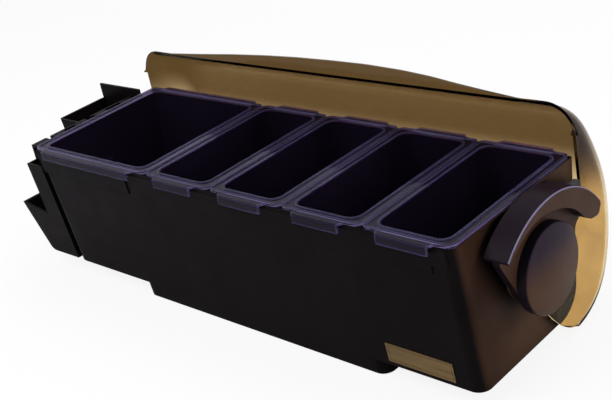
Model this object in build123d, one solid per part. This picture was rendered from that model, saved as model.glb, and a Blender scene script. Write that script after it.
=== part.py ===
from build123d import *
import os
from math import atan2, cos, degrees, hypot, pi, radians, sin, tan

os.makedirs("parts", exist_ok=True)

# Sizes are in millimetres. X runs along the tray, Y to the back, Z up from the counter.
# The lid is drawn open, as it stands in the photograph.

# inserts
PITCH = 80.0
UNITS = 6
DOUBLE_UNITS = 2
RIM_GAP = 0.6
RIM_TOP_Z = 142.2
FLANGE_T = 2.2
RIM_HALF_Y = 75.5
RIM_CORNER_R = 6.0
OPENING_SIDE = 9.0
OPENING_FRONT = 6.5
OPENING_R = 9.0
RIDGE_W = 2.2
INNER_RIDGE_W = 1.6
RIDGE_H = 0.9
INSERT_WALL = 1.8
INSERT_DEPTH = 74.0
INSERT_DRAFT_X = 2.5
INSERT_FLOOR_R = 8.0
WELL_GAP = 2.2
TAB_SIDE = 14.5
TAB_TAPER = 3.0
TAB_REACH = 5.6
TAB_DROP = 8.2
TAB_T = 1.8
TAB_ROOT = 3.0
TAB_STEP_R = 0.8

# tub
SEAT_GAP = 0.3
TUB_END_MARGIN = 0.9
TUB_SIDE_MARGIN = 0.7
TUB_END_DROP = 0.4
TUB_LEAN_IN = 11.6
TUB_FLOOR_Z = 14.4
TUB_WALL = 3.0
TUB_CORNER_R = 11.0
TUB_EDGE_R = 2.0
TUB_BACK_R = 27.0
PLINTH_END_IN = 97.2
PLINTH_SHIFT = 4.7
PLINTH_BACK_IN = 20.6
PLINTH_FOOT_Z = 0.9
PLINTH_LAP = 12.6
PLINTH_CORNER_R = 10.0
BAND_TOP_DROP = 2.0
BAND_H = 22.0
BAND_OUT = 1.8
BAND_STRIP_OUT = 0.7
BAND_END_IN = 6.9
BAND_STEP_SHARE = -0.447
LUG_W = 14.3
LUG_H = 15.0
BAND_ROOT = 1.5
RUBBER_T = 2.3
RUBBER_INSET = 6.0
RUBBER_CORNER_R = 5.0

# lid pivot
PIVOT_DROP = 51.2
PAD_R = 25.0
PAD_PROUD = 0.7
LID_SIDE_GAP = 0.3
LID_T = 2.4
BUSH_R = 14.0
BUSH_WALL = 3.0
SLIP = 0.1
RUNNING = 0.08
WASHER_EDGE = 8.0
WASHER_T = 1.1
SCREWS = 3
SCREW_CIRCLE_R = 6.2
SCREW_R = 2.0
SCREW_HEAD_R = 3.7
SCREW_HEAD_T = 2.2
SCREW_SLOT_W = 0.9
SCREW_SLOT_D = 1.0
SCREW_BITE_SHARE = 0.58

# end brackets
BOSS_H = 4.7
BOSS_EDGE = 3.0
STEM_T = 6.0
ARCH_LID_GAP = 1.6
ARCH_OUT = 9.8
ARCH_R = 78.8
ARCH_Y = 2.0
ARCH_DROP = 22.8
ARCH_FRONT_A = 134.5
ARCH_BACK_A = 33.5
ARCH_UNDERSIDE_SHARE = [
    (-0.690, 0.684), (-0.599, 0.750), (-0.514, 0.793), (-0.429, 0.829), (-0.345, 0.857), (-0.263, 0.875),
    (-0.181, 0.883), (-0.102, 0.880), (-0.023, 0.866), (0.056, 0.846), (0.136, 0.821), (0.214, 0.789),
    (0.293, 0.749), (0.371, 0.697), (0.440, 0.635), (0.500, 0.568), (0.560, 0.514), (0.620, 0.477),
    (0.690, 0.450),
]
ARCH_TIP_SHARE = (0.772, 0.438)
ARCH_TIP_FROM_SHARE = 0.73
MIDDLE_SHARE = 0.5
ARCH_END_R = 4.6
ARCH_EDGE_R = 1.6
STEM_REACH = 50.0
STEM_PROFILE_SHARE = [
    (-1.002, 0.538), (-0.916, 0.366), (-0.788, 0.136), (-0.640, -0.142), (-0.480, -0.382),
    (-0.352, -0.538), (-0.180, -0.640), (0.0, -0.672), (0.180, -0.640), (0.400, -0.525),
    (0.610, -0.330), (0.780, -0.130), (0.880, 0.030), (0.890, 0.150), (0.935, 0.225), (1.060, 0.285),
]
STEM_TOP_SHARE = 0.9
CAP_R = 34.2
CAP_H = 11.3
CAP_SIDE_SHARE = 0.717
CAP_WALL = 2.0
CAP_EDGE_SHARE = 0.5
CAP_HOLLOW_SHARE = 0.4
CAP_POST_R = 3.0
CAP_POST_DEPTH = 4.0
LEFT_CAP_T = 4.0
LEFT_CAP_R = 26.0
BAR_FRONT_IN = 10.2
BAR_BACK_IN = 16.2
BAR_DROP = 10.2
BAR_H = 26.0
BUMPER_X = 5.0
BUMPER_Y = 10.0
BUMPER_H = 7.0
BUMPER_A = 42.6
BUMPER_R = 1.5

# lid
LID_CLEAR = 16.5
LID_ROUND_X = 23.0
LID_OUTLINE_SHARE = [
    (0.826, 0.978), (1.060, 0.825), (1.235, 0.570), (1.345, 0.315), (1.405, 0.075), (1.418, -0.150),
    (1.390, -0.385), (1.325, -0.590), (1.222, -0.765), (1.090, -0.890), (0.930, -0.958),
    (0.760, -0.980), (0.600, -0.975),
]
LID_FLAT_SHARE = [
    (0.826, 0.720), (0.905, 0.640), (1.000, 0.440), (1.075, 0.235), (1.120, 0.050), (1.130, -0.130),
    (1.120, -0.330), (1.088, -0.510), (1.030, -0.675), (0.945, -0.795), (0.830, -0.885),
    (0.720, -0.930), (0.625, -0.950),
]
LID_RIM_BEND_SHARE = (0.826, 0.16)
LID_STEPS = 6
LOBE_R = 27.0
LOBE_SHARE = [
    (0.826, 0.16), (0.72, 0.02), (0.50, 0.20), (0.30, 0.29), (0.0, 0.293), (-0.21, 0.21), (-0.293, 0.0),
    (-0.21, -0.21), (0.0, -0.36), (0.20, -0.60), (0.37, -0.80), (0.486, -0.89), (0.57, -0.925),
    (0.64, -0.93), (0.80, -0.84), (0.92, -0.50), (0.92, 0.10),
]
LIP_LEFT_IN = 41.0
LIP_RIGHT_IN = 43.0
LIP_BOW = 13.8
LIP_ROOT = 2.0
LIP_SHARE = [
    (0.0, 0.0), (0.114, 0.34), (0.234, 0.62), (0.338, 0.81), (0.438, 0.93), (0.535, 0.985), (0.632, 1.0),
    (0.726, 0.90), (0.796, 0.74), (0.855, 0.53), (0.918, 0.33), (1.0, 0.08),
]
LID_TRAVEL_DEG = 98.0

# pockets on the left end
CADDY_WALL = 2.2
CADDY_STANDOFF = 6.0
CADDY_GAP = 1.5
HOOK_T = 2.4
HOOK_GAP = 0.5
HOOK_DROP = 12.0
HOOK_LIFT_GAP = 0.3
HOOK_W = 14.0
HOOK_PLACE_SHARE = 0.28
STRAW_FRONT_Y = 6.0
STRAW_BACK_IN = 10.8
STRAW_TOP_REACH = 54.5
STRAW_FOOT_REACH = 36.5
STRAW_FLOOR_UP = 9.6
STRAW_TOP_DROP = 6.0
STRAW_BACK_UP = 10.5
STRAW_EAR_REACH = 1.0
STRAW_EAR_H = 20.0
SIP_FRONT_GAP = 2.0
SIP_TOP_REACH = 36.5
SIP_FOOT_REACH = 24.5
SIP_FLOOR_UP = 19.6
SIP_INNER_DROP = 8.0
SIP_OUTER_DROP = 22.0
PICK_GAP = 1.2
PICK_FRONT_SETBACK = 0.6
PICK_BACK_IN = 30.2
PICK_STEP_REACH = 2.5
PICK_TOP_REACH = 41.5
PICK_FOOT_REACH = 21.5
PICK_LIP_UP = 54.6
PICK_FLOOR_UP = 1.0
PICK_COLUMN_DROP = 12.2
PICK_EDGE_R = 8.0
PICK_MOUTH_DROP = 7.0
CADDY_EDGE_R = 3.0

# label
LABEL_END_IN = 23.4
LABEL_W = 62.0
LABEL_UP = 5.0
LABEL_H = 17.6
LABEL_T = 0.6
LABEL_BORDER = 1.6
LABEL_BORDER_W = 0.6
LABEL_BORDER_D = 0.2

# Places that follow from the sizes above: tub
TUB_TOP_HALF_X = PITCH * UNITS / 2 + TUB_END_MARGIN
TUB_TOP_HALF_Y = RIM_HALF_Y + TUB_SIDE_MARGIN
TUB_BOTTOM_HALF_Y = TUB_TOP_HALF_Y - TUB_LEAN_IN
TUB_TOP_Z = RIM_TOP_Z - FLANGE_T - SEAT_GAP
LEAN = TUB_LEAN_IN / (TUB_TOP_Z - TUB_FLOOR_Z)
OPENING_HALF_Y = RIM_HALF_Y - OPENING_FRONT
PLINTH_HALF_X = TUB_TOP_HALF_X - PLINTH_END_IN
PLINTH_BACK_Y = TUB_BOTTOM_HALF_Y - PLINTH_BACK_IN
PLINTH_TOP_Z = TUB_FLOOR_Z + PLINTH_LAP
BAND_END_X = TUB_TOP_HALF_X - BAND_END_IN
BAND_STEP_X = TUB_TOP_HALF_X * BAND_STEP_SHARE
LUG_X = BAND_END_X - LUG_W

# Places of the lid pivot and the end brackets
PIVOT_Z = RIM_TOP_Z - PIVOT_DROP
PAD_FACE_X = TUB_TOP_HALF_X + PAD_PROUD
LID_INNER_X = PAD_FACE_X + WASHER_T + LID_SIDE_GAP
LID_OUTER_X = LID_INNER_X + LID_T
BRACKET_FOOT_X = LID_OUTER_X + LID_SIDE_GAP + WASHER_T
BUSH_BORE_R = BUSH_R - BUSH_WALL
WASHER_R = BUSH_R + WASHER_EDGE
BOSS_R = BUSH_R + BOSS_EDGE
STEM_INNER_X = BRACKET_FOOT_X + BOSS_H
STEM_OUTER_X = STEM_INNER_X + STEM_T
SCREW_END_X = STEM_INNER_X + STEM_T * SCREW_BITE_SHARE
ARCH_INNER_X = LID_OUTER_X + ARCH_LID_GAP
ARCH_OUTER_X = STEM_OUTER_X + ARCH_OUT
ARCH_Z = PIVOT_Z - ARCH_DROP
CAP_FACE_X = STEM_OUTER_X + CAP_H
BAR_FRONT_Y = TUB_TOP_HALF_Y - BAR_FRONT_IN
BAR_BACK_Y = TUB_TOP_HALF_Y - BAR_BACK_IN
BAR_TOP_Z = RIM_TOP_Z - BAR_DROP
LID_R = RIM_HALF_Y + LID_CLEAR
LIP_LEFT_X = LIP_LEFT_IN - LID_INNER_X
LIP_RIGHT_X = LID_INNER_X - LIP_RIGHT_IN

# Places of the pockets and the label
CADDY_INNER_X = STEM_OUTER_X + CADDY_STANDOFF
STRAW_BACK_Y = TUB_TOP_HALF_Y - STRAW_BACK_IN
STRAW_TOP_X = CADDY_INNER_X + STRAW_TOP_REACH
STRAW_FOOT_X = CADDY_INNER_X + STRAW_FOOT_REACH
STRAW_FLOOR_Z = TUB_FLOOR_Z + STRAW_FLOOR_UP
STRAW_TOP_Z = BAR_TOP_Z - STRAW_TOP_DROP
STRAW_BACK_Z = BAR_TOP_Z + STRAW_BACK_UP
STRAW_EAR_X = STEM_INNER_X - STRAW_EAR_REACH
PICK_BACK_Y = PICK_BACK_IN - TUB_TOP_HALF_Y
SIP_FRONT_Y = PICK_BACK_Y + SIP_FRONT_GAP
SIP_BACK_Y = STRAW_FRONT_Y - CADDY_GAP
SIP_TOP_X = CADDY_INNER_X + SIP_TOP_REACH
SIP_FOOT_X = CADDY_INNER_X + SIP_FOOT_REACH
SIP_FLOOR_Z = TUB_FLOOR_Z + SIP_FLOOR_UP
SIP_INNER_Z = BAR_TOP_Z - SIP_INNER_DROP
SIP_OUTER_Z = BAR_TOP_Z - SIP_OUTER_DROP
PICK_INNER_X = TUB_TOP_HALF_X + PICK_GAP
PICK_STEP_X = CADDY_INNER_X + PICK_STEP_REACH
PICK_TOP_X = CADDY_INNER_X + PICK_TOP_REACH
PICK_FOOT_X = CADDY_INNER_X + PICK_FOOT_REACH
PICK_FLOOR_Z = TUB_FLOOR_Z + PICK_FLOOR_UP
PICK_LIP_Z = TUB_FLOOR_Z + PICK_LIP_UP
PICK_MOUTH_Z = PICK_LIP_Z - PICK_MOUTH_DROP
PICK_COLUMN_Z = BAR_TOP_Z - PICK_COLUMN_DROP
LABEL_RIGHT_X = TUB_TOP_HALF_X - LABEL_END_IN
LABEL_LOW_Z = TUB_FLOOR_Z + LABEL_UP


HALF_TURN = 180.0
QUARTER_TURN = 90.0


def save(shape, name):
    shape.label = name
    export_step(shape, os.path.join("parts", name + ".step"))


def group(solids):
    return Compound(children=list(solids))


def plate_yz(points, x_from, x_to):
    """A flat outline in Y and Z, made solid between two X positions."""
    face = make_face(Polyline(*points, close=True))
    return extrude(Plane.YZ.offset(x_from) * face, amount=x_to - x_from)


def plate_xz(points, y_from, y_to):
    """A flat outline in X and Z, made solid between two Y positions."""
    face = make_face(Polyline(*points, close=True))
    return extrude(Plane.XZ.offset(-y_from) * face, amount=y_from - y_to)


def rod(radius, x_from, x_to, y=0.0, z=PIVOT_Z):
    """A round rod along X."""
    disc = Plane.YZ.offset(x_from) * Pos(y, z) * Circle(radius)
    return extrude(disc, amount=x_to - x_from)


def block(x_from, x_to, y_from, y_to, z_from, z_to):
    size = Box(x_to - x_from, y_to - y_from, z_to - z_from)
    return Pos((x_from + x_to) / 2, (y_from + y_to) / 2, (z_from + z_to) / 2) * size


def side(part, sign):
    """The same piece for the right end, or mirrored for the left end."""
    if sign > 0:
        return part
    return mirror(part, about=Plane.YZ)


def wall_y(z):
    """Half depth of the tub's outside at a height."""
    return TUB_TOP_HALF_Y - (TUB_TOP_Z - z) * LEAN


def edges_along(part, test):
    return [e for e in part.edges() if test(e)]


# Tub
def tub_profile(inset, back_r):
    """Cross-section of the tub, set in by a wall thickness."""
    low = TUB_FLOOR_Z + inset
    tip = TUB_TOP_Z + inset
    front_low = -(wall_y(low) - inset)
    front_tip = -(wall_y(tip) - inset)
    corner = (-front_low, low)
    back_tip = (-front_tip, tip)
    lean_a = atan2(LEAN, 1)
    cut = back_r * tan((pi / 2 - lean_a) / 2)
    start = (corner[0] - cut, low)
    end = (corner[0] + cut * sin(lean_a), low + cut * cos(lean_a))
    arc_centre = (start[0], low + back_r)
    mid_a = (-pi / 2 - lean_a) / 2
    middle = (arc_centre[0] + back_r * cos(mid_a), arc_centre[1] + back_r * sin(mid_a))
    lines = Line((front_tip, tip), (front_low, low)) + Line((front_low, low), start)
    lines += ThreePointArc(start, middle, end) + Line(end, back_tip) + Line(back_tip, (front_tip, tip))
    return make_face(lines)


def tub_prism(inset, back_r):
    """Full length of the cross-section, with its ends leaning in towards the floor."""
    half_x = TUB_TOP_HALF_X - inset
    prism = extrude(Plane.YZ.offset(-half_x) * tub_profile(inset, back_r), amount=half_x * 2)
    tip = TUB_TOP_Z + inset
    foot = TUB_FLOOR_Z + inset
    low_x = half_x - TUB_END_DROP
    ends = [(-half_x, tip), (half_x, tip), (low_x, foot), (-low_x, foot)]
    return prism & plate_xz(ends, -TUB_TOP_HALF_X, TUB_TOP_HALF_X)


def is_front_upright(e):
    box = e.bounding_box()
    tall = box.size.Z > (TUB_TOP_Z - TUB_FLOOR_Z) / 2
    return tall and box.max.Y < 0


def is_end_edge(e):
    """True round the outside of the end walls and along the front foot, but not at the top."""
    box = e.bounding_box()
    if box.max.Z > TUB_TOP_Z - SLIP and box.size.Z < SLIP or is_front_upright(e):
        return False
    if box.size.X > TUB_TOP_HALF_X:
        return box.max.Y < 0
    return True


def build_tub():
    outer = tub_prism(0, TUB_BACK_R)
    outer = fillet(edges_along(outer, is_front_upright), TUB_CORNER_R)
    outer = fillet(edges_along(outer, is_end_edge), TUB_EDGE_R)
    inner = tub_prism(TUB_WALL, TUB_BACK_R - TUB_WALL)
    inner = fillet(edges_along(inner, is_front_upright), TUB_CORNER_R - TUB_WALL)

    low = PLINTH_FOOT_Z
    tip = PLINTH_TOP_Z
    foot = [(-wall_y(low), low), (PLINTH_BACK_Y, low), (PLINTH_BACK_Y, tip), (-wall_y(tip), tip)]
    plinth_left = PLINTH_SHIFT - PLINTH_HALF_X
    plinth_right = PLINTH_SHIFT + PLINTH_HALF_X
    plinth = plate_yz(foot, plinth_left, plinth_right)
    uprights = [e for e in plinth.edges() if e.bounding_box().size.Z > TUB_FLOOR_Z]
    plinth = fillet(uprights, PLINTH_CORNER_R)
    sump = block(
        plinth_left + TUB_WALL, plinth_right - TUB_WALL,
        -wall_y(low) + TUB_WALL, PLINTH_BACK_Y - TUB_WALL, low + TUB_WALL, PLINTH_TOP_Z,
    )
    corners = [e for e in sump.edges() if e.bounding_box().size.Z > TUB_FLOOR_Z]
    sump = fillet(corners, PLINTH_CORNER_R - TUB_WALL)
    body = outer + plinth - inner - sump
    body -= rubber_sheet()

    body += band(-BAND_END_X, BAND_STEP_X, BAND_H, BAND_OUT)
    body += band(BAND_STEP_X, LUG_X, BAND_H, BAND_STRIP_OUT)
    body += band(LUG_X, BAND_END_X, LUG_H, BAND_OUT)

    inner_x = TUB_TOP_HALF_X - TUB_WALL
    for sign in (-1, 1):
        pad = rod(PAD_R, inner_x - TUB_END_DROP, PAD_FACE_X) - inner
        body += side(pad, sign)
    for sign in (-1, 1):
        for y, z in screw_spots():
            body -= side(rod(SCREW_R + SLIP, screw_seat_x() - TUB_WALL, PAD_FACE_X, y, z), sign)
            body -= side(rod(SCREW_HEAD_R + SLIP, screw_seat_x() - TUB_WALL, screw_seat_x(), y, z), sign)
    return body


def band(x_from, x_to, height, out):
    """A strip standing proud along the top of the front wall."""
    tip = TUB_TOP_Z - BAND_TOP_DROP
    low = tip - height
    points = [
        (-wall_y(low) + BAND_ROOT, low), (-wall_y(low), low), (-wall_y(low + out) - out, low + out),
        (-wall_y(tip - out) - out, tip - out), (-wall_y(tip), tip), (-wall_y(tip) + BAND_ROOT, tip),
    ]
    return plate_yz(points, x_from, x_to)


def rubber_sheet():
    """Non-slip sheet, let into the underside of the plinth."""
    y_front = -wall_y(PLINTH_FOOT_Z) + RUBBER_INSET
    y_back = PLINTH_BACK_Y - RUBBER_INSET
    width = PLINTH_HALF_X * 2 - RUBBER_INSET * 2
    sheet = RectangleRounded(width, y_back - y_front, RUBBER_CORNER_R)
    return extrude(Pos(PLINTH_SHIFT, (y_front + y_back) / 2) * sheet, amount=RUBBER_T)


def screw_spots():
    spots = []
    for i in range(SCREWS):
        a = 2 * pi * i / SCREWS + pi / 2
        spots.append((SCREW_CIRCLE_R * cos(a), PIVOT_Z + SCREW_CIRCLE_R * sin(a)))
    return spots


def screw_seat_x():
    """Inside face of the end wall at the pivot, cut flat under the screw heads."""
    lean = TUB_END_DROP / (TUB_TOP_Z - TUB_FLOOR_Z)
    return TUB_TOP_HALF_X - TUB_WALL - (TUB_TOP_Z - PIVOT_Z) * lean + SEAT_GAP


# Pivot hardware
def build_screw(y, z):
    head_x = screw_seat_x() - SCREW_HEAD_T
    screw = rod(SCREW_R, screw_seat_x(), SCREW_END_X, y, z)
    screw += rod(SCREW_HEAD_R, head_x, screw_seat_x(), y, z)
    slot = block(
        head_x, head_x + SCREW_SLOT_D, y - SCREW_HEAD_R, y + SCREW_HEAD_R,
        z - SCREW_SLOT_W / 2, z + SCREW_SLOT_W / 2,
    )
    return screw - slot


def build_bush():
    return rod(BUSH_R, PAD_FACE_X, BRACKET_FOOT_X) - rod(BUSH_BORE_R, PAD_FACE_X, BRACKET_FOOT_X)


def build_washer(x_from):
    return rod(WASHER_R, x_from, x_from + WASHER_T) - rod(BUSH_R + SLIP, x_from, x_from + WASHER_T)


# End brackets
def arch_point(angle, radius):
    a = radians(angle)
    return (ARCH_Y + radius * cos(a), ARCH_Z + radius * sin(a))


def arch_face():
    """Outline of the curved pad: round outside, with an underside that drops away from it to the back."""
    mid = (ARCH_FRONT_A + ARCH_BACK_A) / 2
    front = arch_point(ARCH_FRONT_A, ARCH_R)
    back = arch_point(ARCH_BACK_A, ARCH_R)
    outer_arc = ThreePointArc(front, arch_point(mid, ARCH_R), back)
    under = [(ARCH_Y + y * ARCH_R, ARCH_Z + z * ARCH_R) for y, z in ARCH_UNDERSIDE_SHARE]
    tip = (ARCH_Y + ARCH_TIP_SHARE[0] * ARCH_R, ARCH_Z + ARCH_TIP_SHARE[1] * ARCH_R)
    end = Line(back, tip) + Line(tip, under[-1])
    return make_face(outer_arc + end + Spline(*under) + Line(under[0], front))


def stem_outline():
    return [(y * STEM_REACH, PIVOT_Z + z * STEM_REACH) for y, z in STEM_PROFILE_SHARE]


def stem_solid():
    points = stem_outline()
    top_z = PIVOT_Z + STEM_TOP_SHARE * STEM_REACH
    curve = Spline(*points)
    right = Line(points[-1], (points[-1][0], top_z))
    top = Line((points[-1][0], top_z), (points[0][0], top_z))
    left = Line((points[0][0], top_z), points[0])
    face = make_face(curve + right + top + left)
    return extrude(Plane.YZ.offset(STEM_INNER_X) * face, amount=STEM_T)


def bracket_core():
    """Boss, spigot and screw holes that both end brackets share."""
    core = rod(BOSS_R, BRACKET_FOOT_X, STEM_INNER_X)
    core += rod(BUSH_BORE_R - SLIP, PAD_FACE_X, BRACKET_FOOT_X)
    return core


def drill(bracket):
    for y, z in screw_spots():
        bracket -= rod(SCREW_R + SLIP, PAD_FACE_X, SCREW_END_X + SLIP, y, z)
    bracket -= rod(CAP_POST_R + SLIP, STEM_OUTER_X - CAP_POST_DEPTH - SLIP, STEM_OUTER_X)
    return bracket


def build_arch_bracket():
    arch = extrude(Plane.YZ.offset(ARCH_INNER_X) * arch_face(), amount=ARCH_OUTER_X - ARCH_INNER_X)
    tip_y = ARCH_Y + ARCH_TIP_FROM_SHARE * ARCH_R
    back_edges = [e for e in arch.edges() if abs(e.bounding_box().size.X - (ARCH_OUTER_X - ARCH_INNER_X))
                  < ARCH_EDGE_R and e.bounding_box().min.Y > tip_y]
    arch = fillet(back_edges, ARCH_END_R)
    centre = Vector(ARCH_OUTER_X, ARCH_Y, ARCH_Z)
    face_edges = [e for e in arch.edges() if e.bounding_box().min.X > ARCH_OUTER_X - ARCH_EDGE_R
                  and e.length > ARCH_R and ((e @ MIDDLE_SHARE) - centre).length > ARCH_R - ARCH_EDGE_R]
    arch = fillet(face_edges, ARCH_EDGE_R)
    stem = stem_solid() & rod(ARCH_R - ARCH_EDGE_R, STEM_INNER_X, STEM_OUTER_X, ARCH_Y, ARCH_Z)
    return drill(arch + stem + bracket_core())


def build_bar_bracket():
    """Left-hand bracket: the same stem under a straight bar that carries the caddies."""
    low = BAR_TOP_Z - BAR_H
    bar = block(STEM_INNER_X, STEM_OUTER_X, -BAR_FRONT_Y, BAR_BACK_Y, low, BAR_TOP_Z)
    ends = [e for e in bar.edges() if abs(e.bounding_box().size.X - STEM_T) < SLIP]
    bar = fillet(ends, CADDY_EDGE_R)
    limit = block(STEM_INNER_X, STEM_OUTER_X, -BAR_FRONT_Y, BAR_BACK_Y, 0, BAR_TOP_Z - CADDY_EDGE_R)
    return drill(bar + (stem_solid() & limit) + bracket_core())


def build_cap(radius, face_x):
    """Round cap with a domed face, on the pivot axis."""
    depth = face_x - STEM_OUTER_X
    shoulder = STEM_OUTER_X + depth * CAP_SIDE_SHARE
    rise = face_x - shoulder
    ball_r = (radius * radius + rise * rise) / (rise * 2)
    ball = Pos(face_x - ball_r, 0, 0) * Rot(0, 0, HALF_TURN) * Sphere(ball_r)
    solid = rod(radius, STEM_OUTER_X, face_x, 0, 0) & ball
    rim = [e for e in solid.edges() if abs(e.bounding_box().max.X - shoulder) < SLIP]
    solid = fillet(rim, rise * CAP_EDGE_SHARE)
    ceiling = STEM_OUTER_X + depth * CAP_HOLLOW_SHARE
    solid -= rod(radius - CAP_WALL, STEM_OUTER_X, ceiling, 0, 0)
    solid += rod(CAP_POST_R, STEM_OUTER_X - CAP_POST_DEPTH, ceiling, 0, 0)
    return Pos(0, 0, PIVOT_Z) * solid


def build_bumper():
    """Small stop that sits on the back of the arch."""
    y, z = arch_point(BUMPER_A, ARCH_R)
    lump = block(
        ARCH_INNER_X, ARCH_INNER_X + BUMPER_X, y - BUMPER_Y / 2, y + BUMPER_Y / 2, z - BUMPER_H, z + BUMPER_H,
    )
    top = [e for e in lump.edges() if e.bounding_box().min.Z > z]
    lump = fillet(top, BUMPER_R)
    return lump - rod(ARCH_R + SLIP, ARCH_INNER_X, ARCH_INNER_X + BUMPER_X, ARCH_Y, ARCH_Z)


# Lid
def scaled(points):
    return [(y * LID_R, z * LID_R) for y, z in points]


def inset_outline(points, amount):
    out = []
    for i, (y, z) in enumerate(points):
        before = points[max(i - 1, 0)]
        after = points[min(i + 1, len(points) - 1)]
        dy = after[0] - before[0]
        dz = after[1] - before[1]
        length = hypot(dy, dz)
        out.append((y + dz / length * amount, z - dy / length * amount))
    return out


def lid_section(inset, angle, opening):
    """Outline of the lid at one step of the rounding between its shell and its end plate."""
    flat = scaled(LID_FLAT_SHARE)
    outer = inset_outline(scaled(LID_OUTLINE_SHARE), inset)
    shrink = 1 - cos(angle)
    points = []
    for o, f in zip(outer, flat):
        points.append((o[0] + (f[0] - o[0]) * shrink, o[1] + (f[1] - o[1]) * shrink))
    x = LID_OUTER_X - inset - (LID_ROUND_X - inset) * (1 - sin(angle))
    curve = Spline(*[(y, PIVOT_Z + z) for y, z in points])
    first = (points[0][0], PIVOT_Z + points[0][1])
    last = (points[-1][0], PIVOT_Z + points[-1][1])
    if opening:
        first_out = (first[0] - opening, first[1])
        last_out = (last[0] - opening, last[1])
        rim = Line(last, last_out) + Line(last_out, first_out) + Line(first_out, first)
    else:
        share = LID_RIM_BEND_SHARE
        bend = (share[0] * LID_R, PIVOT_Z + share[1] * LID_R)
        rim = Line(last, bend) + Line(bend, first)
    return x, make_face(curve + rim)


def lid_block(inset, opening):
    """Solid with the lid's outside shape, or its inside shape when set in."""
    rows = []
    for i in range(LID_STEPS + 1):
        angle = pi / 2 * i / LID_STEPS
        rows.append(lid_section(inset, angle, opening))
    length = rows[0][0]
    solid = extrude(Plane.YZ.offset(-length) * rows[0][1], amount=length * 2)
    for sign in (-1, 1):
        for (xa, fa), (xb, fb) in zip(rows[:-1], rows[1:]):
            step = loft([Plane.YZ.offset(sign * xa) * fa, Plane.YZ.offset(sign * xb) * fb], ruled=True)
            solid += step
    return solid


def lid_lobe():
    points = [(y * LID_R, PIVOT_Z + z * LID_R) for y, z in LOBE_SHARE]
    lobe = plate_yz(points, LID_INNER_X, LID_OUTER_X)
    corners = [e for e in lobe.edges() if abs(e.bounding_box().size.X - LID_T) < SLIP]
    lobe = fillet(corners, LID_T)
    lobe += rod(LOBE_R, LID_INNER_X, LID_OUTER_X)
    return lobe - rod(BUSH_R + RUNNING, LID_INNER_X, LID_OUTER_X)


def lid_lip():
    """Finger lip, bowed up along the front edge of the lid."""
    y = LID_OUTLINE_SHARE[0][0] * LID_R
    z = PIVOT_Z + LID_OUTLINE_SHARE[0][1] * LID_R
    low = z - LID_T / 2
    span = LIP_RIGHT_X - LIP_LEFT_X
    points = [(LIP_LEFT_X + span * along, low + LIP_BOW * up) for along, up in LIP_SHARE]
    foot_right = (LIP_RIGHT_X, z - LIP_ROOT)
    foot_left = (LIP_LEFT_X, z - LIP_ROOT)
    base = Line(points[-1], foot_right) + Line(foot_right, foot_left) + Line(foot_left, points[0])
    face = make_face(Spline(*points) + base)
    return extrude(Plane.XZ.offset(-y) * face, amount=-LID_T)


def lid_slice(shell, x_from, x_to):
    """What the lid has between two X positions."""
    reach = LID_R + LID_R
    return shell & block(x_from, x_to, -reach, reach, PIVOT_Z - reach, PIVOT_Z + reach)


def build_lid_middle(shell):
    """The even part of the lid, with the finger lip."""
    end_x = LID_OUTER_X - LID_ROUND_X
    return lid_slice(shell, -end_x, end_x) + lid_lip()


def build_lid_end(shell):
    """One rounded end of the lid, with its flat plate and the lobe round the pivot."""
    return lid_slice(shell, LID_OUTER_X - LID_ROUND_X, LID_OUTER_X) + lid_lobe()


# Inserts
def well(width, half_y, height, top_z, corner, wall):
    """Tapered well with rounded corners. Its foot stays clear of the tub's leaning walls."""
    shrink_x = tan(radians(INSERT_DRAFT_X)) * height
    shrink_y = half_y - (wall_y(top_z - height) - TUB_WALL - WELL_GAP - wall)
    foot_r = corner - shrink_x / 2
    top = Pos(0, 0, top_z) * RectangleRounded(width, half_y * 2, corner)
    low = Pos(0, 0, top_z - height)
    foot = low * RectangleRounded(width - shrink_x * 2, half_y * 2 - shrink_y * 2, foot_r)
    return loft([foot, top])


def build_insert(units):
    width = PITCH * units - RIM_GAP
    flange_z = RIM_TOP_Z - FLANGE_T
    opening = PITCH * units - OPENING_SIDE * 2
    flange = Pos(0, 0, flange_z) * RectangleRounded(width, RIM_HALF_Y * 2, RIM_CORNER_R)
    body = extrude(flange, amount=FLANGE_T)
    groove_out = Pos(0, 0, RIM_TOP_Z) * RectangleRounded(
        width - RIDGE_W * 2, RIM_HALF_Y * 2 - RIDGE_W * 2, RIM_CORNER_R - RIDGE_W)
    groove_in = Pos(0, 0, RIM_TOP_Z) * RectangleRounded(
        opening + INNER_RIDGE_W * 2, OPENING_HALF_Y * 2 + INNER_RIDGE_W * 2, OPENING_R + INNER_RIDGE_W)
    body -= extrude(groove_out - groove_in, amount=-RIDGE_H)
    outer = well(
        opening + INSERT_WALL * 2, OPENING_HALF_Y + INSERT_WALL, INSERT_DEPTH, RIM_TOP_Z - RIDGE_H,
        OPENING_R + INSERT_WALL, 0)
    low = outer.faces().sort_by(Axis.Z)[0].edges()
    outer = fillet(low, INSERT_FLOOR_R)
    inner_depth = INSERT_DEPTH + RIDGE_H - INSERT_WALL
    inner = well(opening, OPENING_HALF_Y, inner_depth, RIM_TOP_Z, OPENING_R, INSERT_WALL)
    low = inner.faces().sort_by(Axis.Z)[0].edges()
    inner = fillet(low, INSERT_FLOOR_R - INSERT_WALL)
    body += outer
    for sign in (-1, 1):
        body += insert_tab(width, sign)
    return body - inner


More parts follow.
